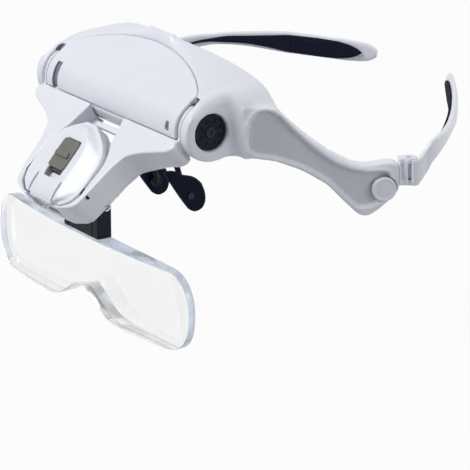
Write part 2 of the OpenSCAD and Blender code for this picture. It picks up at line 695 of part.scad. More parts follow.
// Black cap that turns with the arm in the boss's recess, and its screw
module pivot_cap(s) {
  color(black) arm_space() side(s) difference() {
    bar(cap_r, slot_out + 2.65, slot_out + 4.2);
    difference() {
      bar(cap_r - 1.3, slot_out + 3.3, slot_out + 5);
      for (k = [0:7]) rotate([45 * k, 0, 0]) translate([slot_out + 2, 3.2, -0.3])
        cube([1.9, cap_r, 0.6]);
    }
    bar(0.9, slot_out, slot_out + 6);
  }
}
module pivot_screws() {
  color(steel) arm_space() both() difference() {
    union() {
      bar(0.88, flange_in, slot_out + 3.4);
      bar(2, slot_out + 3.35, slot_out + 4.3);
    }
    for (a = [0, 90]) rotate([a, 0, 0]) translate([slot_out + 3.8, -1.4, -0.25])
      cube([2, 2.8, 0.5]);
  }
}
module friction_washers() {
  color(steel) at_pivot() both() difference() {
    bar(shaft_r + 2.2, flange_in + flange_w + 0.1, slot_out - 0.1);
    bar(shaft_r + 0.2, slot_in, slot_out + 1);
  }
}

// Lamp space: on the lamp's pivot, tilted out of the arm
module lamp_space() {
  arm_space() translate([0, -arm_top - lamp_down, arm_front - lamp_sink])
    rotate([lamp_out, 0, 0]) children();
}
lamp_shape = [[3.2, 27.6], [9.5, 24.4], [14.8, 21.2], [18.3, 17.5], [lamp_half, 12.7],
              [lamp_half, 5.4], [lamp_half - 0.3, -0.8], [lamp_half - 2.6, -5],
              [12.7, -8.2]];
ridge_shape = [[2, 24.5], [7, 20.5], [9.6, 15], [9.8, 5], [nose_half, -2], [nose_half, -8.6]];
function full(half, inset = 0) = concat(
  [for (p = half) [p[0] - inset, p[1] - sign(p[1]) * inset]],
  [for (i = [len(half) - 1:-1:0]) [inset - half[i][0], half[i][1] - sign(half[i][1]) * inset]]);
module layer(half, inset, z0, z1) {
  translate([0, 0, z0]) linear_extrude(z1 - z0) polygon(full(half, inset));
}
slot_top = 18;
switch_room = slider_l + switch_travel + 0.6;

module lamp_front_cover() {
  // Floor of the slot's free end, under the switch button's foot
  color(white) lamp_space() translate([-6.6, -3.9, 0.6]) cube([13.2, 7.1, 0.5]);
  color(white) lamp_space() difference() {
    union() {
      layer(lamp_shape, 0, -parting_z, shoulder_z);
      hull() {
        layer(lamp_shape, 1.2, shoulder_z - 0.2, shoulder_z);
        layer(ridge_shape, 0, ridge_z - 0.2, ridge_z);
      }
      translate([-nose_half, -9.4, -parting_z]) cube([2 * nose_half, 3, parting_z + 2.6]);
    }
    layer(lamp_shape, lamp_wall + 0.6, -parting_z - 1, shoulder_z - lamp_wall);
    translate([-6.4, -6, -parting_z - 1]) cube([12.8, 25.6, parting_z + 1 + ridge_z - lamp_wall]);
    translate([-slider_half - 0.3, slot_top - switch_room, 0])
      cube([2 * (slider_half + 0.3), switch_room, ridge_z + 1]);
    both() {
      translate([led_half, -4, 0]) rotate([90, 0, 0])
        cylinder(r = led_d / 2 + run_fit, h = 8);
      bar(lamp_pin_r + run_fit, lamp_half - 4, lamp_half + 1);
    }
  }
}
module lamp_rear_cover() {
  color(white) lamp_space() difference() {
    union() {
      layer(lamp_shape, 0.2, -lamp_d, -parting_z - seat_gap);
      translate([-nose_half + 1, -9.2, -lamp_d + 1])
        cube([2 * nose_half - 2, 3, lamp_d - 1 - parting_z - seat_gap]);
    }
    layer(lamp_shape, lamp_wall + 0.6, -lamp_d + lamp_wall, 1);
    // Passage of the lead
    translate([-1, 18, -lamp_d - 1]) cube([2, 2, 3]);
  }
}
module lamp_board() {
  color("seagreen") lamp_space() translate([-10, -5.4, -lamp_d + lamp_wall + 0.1])
    cube([20, 24, 0.8]);
}
module leds() {
  color([0.95, 0.96, 1]) lamp_space() both() translate([led_half, 0, 0]) {
    rotate([90, 0, 0]) translate([0, 0, 5]) cylinder(r = led_d / 2, h = 5.2);
    translate([0, -10.2, 0]) sphere(r = led_d / 2, $fn = 32);
    rotate([90, 0, 0]) translate([0, 0, 4.1]) cylinder(r = led_d / 2 + 0.3, h = 0.9);
  }
}
module switch_body() {
  color(steel) lamp_space() translate([-4, 6, -lamp_d + lamp_wall + 1])
    cube([8, 10, lamp_d - lamp_wall - 1]);
}
module switch_slider() {
  color([0.42, 0.42, 0.39]) lamp_space() difference() {
    union() {
      translate([-slider_half, slot_top - 0.3 - slider_l, ridge_z - 1])
        cube([2 * slider_half, slider_l, 1.6]);
      translate([-slider_half - 1.2, slot_top - slider_l - 0.6, 1.3])
        cube([2 * slider_half + 2.4, slider_l + 1, 0.8]);
      translate([-slider_half + 0.6, slot_top - slider_l + 0.6, 2 - eps])
        cube([2 * slider_half - 1.2, slider_l - 1.8, ridge_z - 2.9]);
      translate([-1.2, 9.6, 0.3]) cube([2.4, 2.4, 1.2]);
    }
    for (k = [0:1]) translate([-slider_half - 1, slot_top - 3.6 - 7 * k, ridge_z])
      cube([2 * slider_half + 2, -0.6 + 1.6, 1]);
  }
}
module lamp_pins() {
  color(black) arm_space() translate([0, -arm_top - lamp_down, arm_front - lamp_sink]) both() {
    bar(lamp_pin_r - 0.02, lamp_half - 1.8, rail_half - 2.4);
    translate([lamp_half + 0.12, -0.6, -1.6]) cube([lamp_gap - 0.24, 2.8, 3.2]);
  }
}

// Lens holder, hanging from its pin under the arm
lens_top = holder_at[1] - holder_h;
lens_back = holder_at[0] + 2.6;
tongue_y = lens_back - lens_t / 2 - tongue_t / 2;
holder_outline = [
  [holder_at[0] + 1.8, holder_at[1]], [holder_at[0] + 1.8, holder_at[1] - 1],
  [lens_back - 0.8, holder_at[1] - 4], [lens_back - 0.8, lens_top + 0.15],
  [lens_back - 0.8 - holder_t, lens_top + 0.15], [lens_back - 0.8 - holder_t, holder_at[1] - 13],
  [holder_at[0] - 1.8, holder_at[1] - 2], [holder_at[0] - 1.8, holder_at[1]]];
module holder_pin() {
  color(steel) at_pivot()
    bar(holder_pin_r - 0.02, -ear_in - ear_w, ear_in + ear_w, holder_at[0], holder_at[1]);
}
module lens_holder() {
  color(black) at_pivot() difference() {
    union() {
      upright(holder_outline, -holder_half, holder_half);
      bar(1.9, -holder_half, holder_half, holder_at[0], holder_at[1]);
    }
    bar(holder_pin_r + run_fit, -holder_half - 1, holder_half + 1, holder_at[0], holder_at[1]);
    translate([-tongue_half - 0.2, tongue_y - 0.2, lens_top - 1])
      cube([2 * tongue_half + 0.4, tongue_t + 1, tongue_h + 1.4]);
  }
}
module lens_spring() {
  color(steel) at_pivot() translate([-4, tongue_y + tongue_t + 0.25, lens_top + 0.6])
    cube([8, 0.4, tongue_h - 1]);
}

// Outline of the lens: top edge, rounded ends, and a low edge with a middle notch
lobe_z = lens_top - lens_h;
function low_edge(x) = lobe_z + lens_notch * exp(-pow(x / 13.5, 2));
function end_arc(a) = let (r = lens_h / 2)
  [lens_half - r + r * swell(cos(a), 0.8), lens_top - r + r * swell(sin(a), 0.8)];
lens_right = concat([[30, lens_top]], [for (a = [80:-20:-80]) end_arc(a)],
                    [for (x = [50, 42, 34, 27, 22, 18, 14, 11, 8, 5, 2]) [x, low_edge(x)]]);
lens_outline = concat(lens_right,
  [for (i = [len(lens_right) - 1:-1:0]) [-lens_right[i][0], lens_right[i][1]]]);
module lens() {
  color([0.85, 0.87, 0.95, 0.5]) at_pivot() {
    intersection() {
      translate([0, lens_back, 0]) rotate([90, 0, 0]) linear_extrude(lens_t + 1)
        polygon(lens_outline);
      translate([0, 0, lobe_z - 5]) linear_extrude(lens_h + 10) polygon(concat(
        [[lens_half + 5, lens_back + 1], [-lens_half - 5, lens_back + 1]],
        [for (i = [-12:12]) let (x = (lens_half + 5) * i / 12)
          [x, lens_back - lens_t + lens_thin * pow(x / lens_half, 2)]]));
    }
    translate([-tongue_half, tongue_y, lens_top - 0.5])
      cube([2 * tongue_half, tongue_t, tongue_h + 0.5]);
  }
}

head_shell();
battery_cover();
battery_cells();
battery_contacts();
pad_frame();
forehead_pad();
nose_bracket();
nose_arms();
nose_pins();
nose_pad(1);  // nose_pad_left
nose_pad(-1);  // nose_pad_right
leg_link(1);  // leg_link_left
leg_link(-1);  // leg_link_right
release_button(1);  // release_button_left
release_button(-1);  // release_button_right
button_springs();
hinge_pin(1);  // hinge_pin_left
hinge_pin(-1);  // hinge_pin_right
temple_leg(1);  // temple_leg_left
temple_leg(-1);  // temple_leg_right
leg_grip(1);  // leg_grip_left
leg_grip(-1);  // leg_grip_right
friction_washers();
lens_arm();
arm_rear_cover();
arm_screws();
pivot_cap(1);  // pivot_cap_left
pivot_cap(-1);  // pivot_cap_right
pivot_screws();
lamp_pins();
lamp_front_cover();
lamp_rear_cover();
lamp_board();
leds();
switch_body();
switch_slider();
holder_pin();
lens_holder();
lens_spring();
lens();
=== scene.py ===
"""Lighted headband magnifier: the dressed model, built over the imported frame."""
import json
import math

import bmesh
import bpy
import numpy as np
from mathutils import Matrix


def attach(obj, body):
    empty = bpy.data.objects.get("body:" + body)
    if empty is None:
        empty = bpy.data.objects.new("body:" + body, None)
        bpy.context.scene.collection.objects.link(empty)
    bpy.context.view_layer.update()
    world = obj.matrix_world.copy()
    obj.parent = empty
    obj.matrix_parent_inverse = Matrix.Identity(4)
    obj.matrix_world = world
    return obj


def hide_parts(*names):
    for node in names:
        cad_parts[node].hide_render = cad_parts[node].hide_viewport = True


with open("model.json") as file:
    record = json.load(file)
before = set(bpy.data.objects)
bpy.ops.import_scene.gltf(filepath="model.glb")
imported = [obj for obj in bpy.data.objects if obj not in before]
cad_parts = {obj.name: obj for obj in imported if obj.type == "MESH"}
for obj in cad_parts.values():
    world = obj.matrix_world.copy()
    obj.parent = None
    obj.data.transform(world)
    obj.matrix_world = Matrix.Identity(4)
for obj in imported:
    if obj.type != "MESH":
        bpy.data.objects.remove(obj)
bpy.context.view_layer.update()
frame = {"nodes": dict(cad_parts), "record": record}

# Lengths are millimetres from the lens arm's pivot axis, angles are degrees.
MM = 0.001
PIVOT = np.array([0.0, -48.9, 84.4])  # the axis in the frame
TUBE_R = 11.9  # battery tube
SLOT_IN, SLOT_X, SLOT_OUT, BOSS_X = 48.3, 49.8, 51.3, 56.4  # arm slots, end of the bosses
PANEL_TILT, ARM_TILT, LAMP_OUT, WING_ANGLE = 36.0, 44.0, 4.0, 27.5
WING_X0, WING_T = 56.0, 6.8  # where the wings start, and their thickness
LAMP_AT = (0.0, -46.2, 5.6)  # lamp pivot in the arm's space
ARM_TOP, ARM_FRONT, ARM_D = 11.0, 7.2, 11.0  # arm's edge, face and depth

# ---------------------------------------------------------------- spaces and surfaces


def cos_sin(degrees):
    """Cosine and sine of an angle in degrees."""
    return math.cos(math.radians(degrees)), math.sin(math.radians(degrees))


def turned(points, degrees):
    """Points turned about X: y' = y cos a - z sin a, z' = y sin a + z cos a."""
    c, s = cos_sin(degrees)
    x, y, z = np.moveaxis(np.asarray(points, float), -1, 0)
    return np.stack([x, y * c - z * s, y * s + z * c], axis=-1)


def placed(points, space="pivot", side=1):
    """Millimetres of the pivot, panel, wing, arm or lamp space, to metres of the frame."""
    p = np.asarray(points, float)
    if space == "panel":
        p = turned(p, PANEL_TILT)
    if space == "lamp":
        p = turned(p, LAMP_OUT) + LAMP_AT
    if space in ("lamp", "arm"):
        p = turned(p, ARM_TILT)
    if space == "wing":
        c, s = cos_sin(WING_ANGLE)
        p = np.stack([WING_X0 + p[..., 0] * c + p[..., 1] * s,
                      -p[..., 0] * s + p[..., 1] * c, p[..., 2]], axis=-1)
    return (p * [side, 1, 1] + PIVOT) * MM


def unplaced(points, space):
    """Metres of the frame, back to millimetres of the pivot or lamp space."""
    p = np.asarray(points, float) / MM - PIVOT
    return turned(turned(p, -ARM_TILT) - LAMP_AT, -LAMP_OUT) if space == "lamp" else p


def lofted(rings):
    """Closed surface through n rings of m points: quads (i, j) (i, j+1) (i+1, j+1)
    (i+1, j), and the first and last ring as end faces."""
    n, m = rings.shape[:2]
    grid = np.arange(n * m).reshape(n, m)
    nxt = np.roll(grid, -1, axis=1)
    quads = np.stack([grid[:-1], nxt[:-1], nxt[1:], grid[1:]], axis=-1).reshape(-1, 4)
    return rings.reshape(-1, 3), quads.tolist() + [grid[0].tolist(), grid[-1].tolist()]


def prism(outline, low, high, axis="x"):
    """Outline of two coordinates, carried along X or Z from low to high."""
    o = np.asarray(outline, float)
    order = (2, 0, 1) if axis == "x" else (0, 1, 2)
    rings = [np.column_stack([o, np.full(len(o), h)])[:, order] for h in (low, high)]
    return lofted(np.stack(rings))


def disc(r):
    a = np.linspace(0, 2 * np.pi, 72, endpoint=False)
    return np.column_stack([r * np.cos(a), r * np.sin(a)])


def bar(r, x0, x1, y=0.0, z=0.0):
    """Round bar along X: a circle of radius r about (y, z)."""
    return prism(disc(r) + [y, z], x0, x1)


def block(lo, hi):
    return prism([[lo[0], lo[1]], [hi[0], lo[1]], [hi[0], hi[1]], [lo[0], hi[1]]],
                 lo[2], hi[2], "z")


def sector(r0, r1, x0, x1, a0, a1):
    """Part of a ring about the pivot axis, between angles up from the front."""
    a = np.radians(np.linspace(a0, a1, 40))
    outer = np.column_stack([-r1 * np.cos(a), r1 * np.sin(a)])
    inner = np.column_stack([-r0 * np.cos(a), r0 * np.sin(a)])[::-1] if r0 else [[0, 0]]
    return prism(np.vstack([outer, inner]), x0, x1)


def eased(outline, reach, spacing=0.5):
    """Closed outline with its corners eased: resampled evenly, then averaged with its
    neighbours (1 2 1) / 4 until the averaging reaches about that many millimetres."""
    o = np.asarray(outline, float)
    o = np.vstack([o, o[:1]])
    along = np.concatenate([[0], np.cumsum(np.hypot(*np.diff(o, axis=0).T))])
    at = np.linspace(0, along[-1], int(along[-1] / spacing), endpoint=False)
    p = np.column_stack([np.interp(at, along, o[:, k]) for k in (0, 1)])
    for _ in range(int(2 * (reach / spacing) ** 2)):
        p = (np.roll(p, 1, 0) + 2 * p + np.roll(p, -1, 0)) / 4
    return p


def mirrored(half):
    """Outline from its right half, of [x, y] points."""
    h = np.asarray(half, float)
    return np.vstack([h, h[::-1] * [-1, 1]])


# ---------------------------------------------------------------- pieces


def made(name, shape, space="pivot", side=1):
    """Object of one closed surface, with its normals outwards."""
    points, faces = shape
    mesh = bpy.data.meshes.new(name)
    mesh.from_pydata(placed(points, space, side).tolist(), [], faces)
    bm = bmesh.new()
    bm.from_mesh(mesh)
    bmesh.ops.recalc_face_normals(bm, faces=bm.faces)
    bm.to_mesh(mesh)
    bm.free()
    obj = bpy.data.objects.new(name, mesh)
    bpy.context.scene.collection.objects.link(obj)
    return obj


def copied(name, node):
    """Copy of a node's shape with its doubles merged."""
    obj = frame["nodes"][node].copy()
    obj.data = frame["nodes"][node].data.copy()
    obj.name = name
    obj.parent = None
    for key in list(obj.keys()):
        del obj[key]
    obj.data.materials.clear()
    bpy.context.scene.collection.objects.link(obj)
    bm = bmesh.new()
    bm.from_mesh(obj.data)
    bmesh.ops.remove_doubles(bm, verts=bm.verts, dist=0.000002)
    bm.to_mesh(obj.data)
    bm.free()
    return obj


def settled(obj):
    """Applies the modifiers of an object to its mesh."""
    graph = bpy.context.evaluated_depsgraph_get()
    done = bpy.data.meshes.new_from_object(obj.evaluated_get(graph))
    obj.modifiers.clear()
    obj.data = done
    return obj


def combined(obj, others, operation="DIFFERENCE"):
    """Takes other solids out of a solid, or adds them to it."""
    for other in others:
        step = obj.modifiers.new("step", "BOOLEAN")
        step.operation = operation
        step.solver = "EXACT"
        step.object = other
    settled(obj)
    for other in others:
        bpy.data.objects.remove(other)
    return obj


def relaxed(obj, rounds, weight=None):
    """Each point moves half way, times its weight, to the mean of its neighbours."""
    mesh = obj.data
    n = len(mesh.vertices)
    ends = np.empty(2 * len(mesh.edges), np.int32)
    mesh.edges.foreach_get("vertices", ends)
    a, b = ends.reshape(-1, 2).T
    co = np.empty(3 * n)
    mesh.vertices.foreach_get("co", co)
    co = co.reshape(-1, 3)
    share = 0.5 / np.maximum(np.bincount(ends, minlength=n), 1)
    count = 0.5
    if weight is not None:
        w = weight(co)
        share, count = share * w, (0.5 * w)[:, None]
    for _ in range(rounds):
        total = np.stack([np.bincount(a, co[b, k], n) + np.bincount(b, co[a, k], n)
                          for k in range(3)], axis=1)
        co += share[:, None] * total - count * co
    mesh.vertices.foreach_set("co", co.ravel())
    mesh.update()
    return obj


def moulded(obj, voxel, rounds):
    """One moulding: its solids become one skin of small even faces, whose edges and
    corners are then eased as a mould leaves them."""
    step = obj.modifiers.new("skin", "REMESH")
    step.mode = "VOXEL"
    step.voxel_size = voxel * MM
    step.adaptivity = 0
    settled(obj)
    return relaxed(obj, rounds)


def joined(name, objects):
    """One object of several meshes, which may overlap."""
    bm = bmesh.new()
    for obj in objects:
        bm.from_mesh(obj.data)
        bpy.data.objects.remove(obj)
    mesh = bpy.data.meshes.new(name)
    bm.to_mesh(mesh)
    bm.free()
    obj = bpy.data.objects.new(name, mesh)
    bpy.context.scene.collection.objects.link(obj)
    return obj


def fitted(obj, body, nodes, material):
    """Smooth shading, a material, its body and the nodes it stands for."""
    obj.data.polygons.foreach_set("use_smooth", [True] * len(obj.data.polygons))
    obj.data.materials.clear()
    obj.data.materials.append(material)
    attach(obj, body)
    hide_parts(*nodes)


def more_materials(obj, materials, chosen):
    """Adds materials and gives each face the one that chosen(middles in mm from the
    pivot, normals) names: 0 for its own material, 1 and up for the added ones."""
    n = len(obj.data.polygons)
    centre, normal = np.empty(3 * n), np.empty(3 * n)
    obj.data.polygons.foreach_get("center", centre)
    obj.data.polygons.foreach_get("normal", normal)
    for material in materials:
        obj.data.materials.append(material)
    obj.data.polygons.foreach_set("material_index", chosen(
        centre.reshape(-1, 3) / MM - PIVOT, normal.reshape(-1, 3)).astype(np.int32))


# ---------------------------------------------------------------- materials


def plain_material(name, colour, rough, metal=0.0, grain=1200, bump=0.05, vary=0.06,
                   tone=0.04, ior=1.47, coarse=40, sheen=0.0, glint=0.5):
    """Moulded or worked surface: its colour drifts by the share tone over coarse noise,
    its roughness varies with a finer noise, and a fine grain lifts it."""
    material = bpy.data.materials.new(name)
    material.use_nodes = True
    tree = material.node_tree
    shader = tree.nodes["Principled BSDF"]
    shader.inputs["Metallic"].default_value = metal
    shader.inputs["IOR"].default_value = ior
    shader.inputs["Specular IOR Level"].default_value = glint
    shader.inputs["Sheen Weight"].default_value = sheen
    where = tree.nodes.new("ShaderNodeTexCoord").outputs["Object"]

    def noise(scale, detail):
        node = tree.nodes.new("ShaderNodeTexNoise")
        node.inputs["Scale"].default_value = scale
        node.inputs["Detail"].default_value = detail
        tree.links.new(where, node.inputs["Vector"])
        return node.outputs["Fac"]

    def mapped(value, low, high):
        node = tree.nodes.new("ShaderNodeMapRange")
        node.inputs["To Min"].default_value = low
        node.inputs["To Max"].default_value = high
        node.inputs["From Min"].default_value = 0.3
        node.inputs["From Max"].default_value = 0.7
        tree.links.new(value, node.inputs["Value"])
        return node.outputs["Result"]

    mix = tree.nodes.new("ShaderNodeMix")
    mix.data_type = "RGBA"
    mix.inputs["A"].default_value = (*[c * (1 - tone) for c in colour], 1)
    mix.inputs["B"].default_value = (*[min(1, c * (1 + tone)) for c in colour], 1)
    tree.links.new(mapped(noise(coarse, 3), 0, 1), mix.inputs["Factor"])
    tree.links.new(mix.outputs["Result"], shader.inputs["Base Color"])
    tree.links.new(mapped(noise(grain * 0.4, 4), rough - vary, rough + vary),
                   shader.inputs["Roughness"])
    lift = tree.nodes.new("ShaderNodeBump")
    lift.inputs["Strength"].default_value = bump
    lift.inputs["Distance"].default_value = 0.0002
    tree.links.new(noise(grain, 2), lift.inputs["Height"])
    tree.links.new(lift.outputs["Normal"], shader.inputs["Normal"])
    return material


def clear_material(name, colour, rough, ior, alpha=0.5, tone=0.01, coarse=40):
    """Clear plastic: light passes, and faint flow marks vary its polish. The share
    1 - alpha of the light goes straight through, so that it stays pale over white."""
    material = plain_material(name, colour, rough, grain=300, bump=0.004, vary=0.012,
                              tone=tone, ior=ior, coarse=coarse)
    shader = material.node_tree.nodes["Principled BSDF"]
    shader.inputs["Transmission Weight"].default_value = 1.0
    shader.inputs["Alpha"].default_value = alpha
    return material


WHITE = plain_material("satin_white_shell", (0.83, 0.84, 0.90), 0.36, grain=2600,
                       bump=0.06, tone=0.012)
WHITE_ARM = plain_material("satin_white_arm", (0.84, 0.85, 0.905), 0.34, grain=2600,
                           bump=0.06, tone=0.012)
# Matt white for the floors of the wings' sunk panels; its colour is darker than the shell's
# as painted shade.
MATT_WHITE_PAINTED_SHADE = plain_material("matt_white_panel_painted_shade", (0.66, 0.67, 0.725), 0.55, grain=1500,
                            bump=0.25, tone=0.03, coarse=300, glint=0.3)
BLACK = plain_material("navy_black_plastic", (0.0085, 0.0105, 0.023), 0.42, grain=1800,
                       bump=0.12, tone=0.12, glint=0.16)
RUBBER = plain_material("navy_black_rubber", (0.010, 0.0125, 0.027), 0.75, grain=2200,
                        bump=0.2, tone=0.15, glint=0.1)
# Grey painted shade for the inner faces of the slots' end holes, the finger slot and the
# window, which are white plastic.
SHADE_GREY = plain_material("grey_painted_shade", (0.23, 0.245, 0.30), 0.5, grain=2200, bump=0.08,
                      tone=0.03, glint=0.3)
SWITCH = plain_material("olive_grey_switch", (0.135, 0.135, 0.115), 0.45, grain=2200,
                        bump=0.2, tone=0.08)
BLACK_STEEL = plain_material("blackened_steel", (0.022, 0.023, 0.032), 0.35, metal=0.3,
                             grain=900, bump=0.05, tone=0.1, glint=0.3)
STEEL = plain_material("turned_steel", (0.55, 0.56, 0.58), 0.3, metal=1.0, grain=900,
                       bump=0.05, tone=0.06)
CELL = plain_material("cell_sleeve", (0.55, 0.38, 0.12), 0.3, metal=0.6, grain=600,
                      bump=0.04, tone=0.08)
BOARD = plain_material("green_board", (0.03, 0.16, 0.08), 0.4, grain=900, bump=0.2,
                       tone=0.2, coarse=400)
LENS = clear_material("clear_acrylic", (0.97, 0.975, 0.99), 0.015, 1.49, alpha=0.36)
# Dark steel-blue tint on the lens's rim faces, strongly mottled over coarse noise: painted
# reflections and refractions of dark surroundings.
RIM_PAINTED_REFLECTION = clear_material("clear_acrylic_rim_painted_reflection", (0.21, 0.29, 0.42), 0.03, 1.49, alpha=0.8,
                     tone=0.9, coarse=60)
LED = clear_material("clear_led_epoxy", (0.93, 0.94, 0.97), 0.04, 1.5)


def foam_material():
    """Dark foam cloth: a fine knitted cell pattern over soft mottling."""
    material = plain_material("dark_foam", (0.028, 0.03, 0.045), 0.85, grain=900, bump=0.7,
                              tone=0.25, coarse=160, sheen=0.3)
    tree = material.node_tree
    cells = tree.nodes.new("ShaderNodeTexVoronoi")
    cells.inputs["Scale"].default_value = 1100
    lift = tree.nodes.new("ShaderNodeBump")
    lift.inputs["Strength"].default_value = 0.6
    lift.inputs["Distance"].default_value = 0.0003
    where = tree.nodes["Texture Coordinate"].outputs["Object"]
    tree.links.new(where, cells.inputs["Vector"])
    tree.links.new(cells.outputs["Distance"], lift.inputs["Height"])
    tree.links.new(tree.nodes["Bump"].outputs["Normal"], lift.inputs["Normal"])
    tree.links.new(lift.outputs["Normal"], tree.nodes["Principled BSDF"].inputs["Normal"])
    return material


FOAM = foam_material()

# ---------------------------------------------------------------- forehead shell


def around(r, degrees):
    a = np.radians(degrees)
    return [-r * np.cos(a), r * np.sin(a)]


def on_panel(t, depth=0.0):
    """A point on the flat brow panel, t up from where it leaves the tube."""
    y, z = around(TUBE_R - depth, 90 - PANEL_TILT)
    c, s = cos_sin(PANEL_TILT)
    return [y + t * c, z + t * s]


def off_panel(p):
    """How far points lie up along the brow panel, and how far out of its plane."""
    start = on_panel(0)
    c, s = cos_sin(PANEL_TILT)
    y, z = p[:, 1] - start[0], p[:, 2] - start[1]
    return y * c + z * s, z * c - y * s


def arch(x):
    """Length of the panel: 4.7 + 18 (1 - (x / 49.8)^2)^0.75."""
    return 4.7 + 18 * np.maximum(0, 1 - (x / SLOT_X) ** 2) ** 0.75


def rim_back(x):
    """The rim's y: a cosine from 12.7 in the middle to 24.5 at the wings."""
    return 12.7 + 5.9 * (1 - np.cos(np.pi * np.minimum(1, np.abs(x) / 63)))


def rim_top(x, tab=0.9):
    """The rim's z: a parabola with a small tab in the middle, that falls to the wings."""
    return (26.3 - 0.0037 * x * x + tab * np.clip((9.5 - np.abs(x)) / 0.3 + 0.5, 0, 1)
            - 3.4 * np.clip((np.abs(x) - 52) / 10, 0, 1) ** 2)


def crown(x, f):
    """From the panel's upper edge a to the rim b: a + f d + 0.24 f (1 - f) times d
    turned outwards."""
    a, b = on_panel(arch(x)), [rim_back(x), rim_top(x)]
    d = [b[0] - a[0], b[1] - a[1]]
    return [a[0] + f * d[0] - 0.24 * f * (1 - f) * d[1],
            a[1] + f * d[1] + 0.24 * f * (1 - f) * d[0]]


def shell_rings(x):
    """Section of the brow at each x: back, bottom, tube, panel, crown, rim. Under the
    lid it lies 1.75 lower, and past the bosses it starts behind the wing's face."""
    lid = np.where(np.abs(x) < 48.1, 1.75, 0.0)
    front = np.where(np.abs(x) > BOSS_X, (np.abs(x) - WING_X0)
                     / math.tan(math.radians(WING_ANGLE)) + 0.4, -100)
    back, t = rim_back(x) + 2.4, arch(x)
    outline = [[back, -10.5], [np.maximum(back / 2, front + 3), -11.5]]
    outline += [around(TUBE_R, a) for a in np.linspace(-90, -19, 22)]
    outline += [around(TUBE_R, -17), around(TUBE_R - lid, -15.5)]
    outline += [around(TUBE_R - lid, a) for a in np.linspace(-12.5, 52, 20)]
    outline += [on_panel((t - 0.12) * f, lid) for f in np.linspace(0, 1, 8)]
    outline += [on_panel(t)]
    outline += [crown(x, f) for f in np.linspace(0.06, 0.94, 14)]
    top = rim_top(x)
    outline += [[rim_back(x) + 0.5, top], [rim_back(x) + 1.9, top], [back, top - 1],
                [back, top / 2], [back, 0]]
    return np.stack([np.stack([x, np.maximum(o[0] + 0 * x, front + 0.02 * k), o[1] + 0 * x],
                              axis=-1) for k, o in enumerate(outline)], axis=1)


HALF = np.concatenate([
    np.linspace(0, 9.2, 8), [9.35, 9.65], np.linspace(10.4, 48.05, 46), [48.15],
    np.linspace(49, 56.35, 10), [56.45], np.linspace(57.4, 62, 6)])
STATIONS = np.concatenate([-HALF[:0:-1], HALF])  # x of the brow's sections

WING_LOW = [[0.6, -11], [13, -10.8], [25, -12.6], [36, -17], [46, -23.2], [53.5, -31.2],
            [58.4, -36], [61.2, -37], [64, -36.2], [70.5, -31.2]]
WING_HIGH = [[70, -14.8], [65.5, -15.6], [60.5, -16], [55.7, -15], [47.6, -10.6],
             [39.3, -4.5], [31.4, 2.5], [25.3, 8.8], [18, 10], [0.6, 10]]
WING_END = [[74.6, -27], [74.6, -15.6]]
RECESS_D, BEAD_W, BEAD_H = 1.5, 1.2, 0.75  # wing panel's depth, its bead
RECESS = [[15, 4], [13.2, -4], [14, -7.5], [16.5, -9.2], [25, -11], [36, -14.8],
          [46, -20.9], [55, -30], [58.8, -33.4], [61.6, -33], [66, -31.6],
          [70.6, -27.2], [71, -18.5], [62, -18.6], [56, -17.4],
          [48, -13.8], [40, -7.6], [32, 0.2], [27, 5.8], [22.5, 8.2], [18, 8]]


def widened(outline, by):
    """Closed outline moved outwards along its normals."""
    d = np.roll(outline, -1, 0) - np.roll(outline, 1, 0)
    d /= np.linalg.norm(d, axis=1, keepdims=True)
    out = np.column_stack([d[:, 1], -d[:, 0]])
    y, z = outline.T
    turn = np.sign(np.sum(y * np.roll(z, -1) - z * np.roll(y, -1)))
    return outline + by * turn * out


def wing(side):
    """Flat wing with a sunk panel inside a raised bead."""
    outline = eased(WING_LOW + WING_END + WING_HIGH, 1.3)
    panel = eased(RECESS, 1.5)
    obj = made("wing", prism(outline, -WING_T, 0), "wing", side)
    bead = prism(widened(panel, BEAD_W), -RECESS_D, BEAD_H)
    combined(obj, [made("bead", bead, "wing", side)], "UNION")
    return combined(obj, [made("recess", prism(panel, -RECESS_D, 1), "wing", side)])


HINGE_X, HINGE_Y, HINGE_Z = -3.4, 79.0, -19.3  # leg hinge in the wing's space
BUTTON_Y, BUTTON_Z = 68.6, -25.7
HOLE_T, HOLE_R = 4.1, 1.7  # end holes of the arm slots, up the panel
CELL_R, PAIR_X, THIRD_X = 5.55, 45.6, 23.35  # room for the cells
THIRD_Y, THIRD_Z = 11.5, 4.6


def slot_hole(side):
    """Round hole across the panel, at the upper end of an arm slot."""
    at = on_panel(HOLE_T)
    hole = made("hole", prism(disc(HOLE_R), -2.5, 2.5, "z"))
    co = np.array([v.co for v in hole.data.vertices]) / MM - PIVOT
    co = turned(co, PANEL_TILT) + [side * SLOT_X, at[0], at[1]]
    hole.data.vertices.foreach_set("co", ((co + PIVOT) * MM).ravel())
    return hole


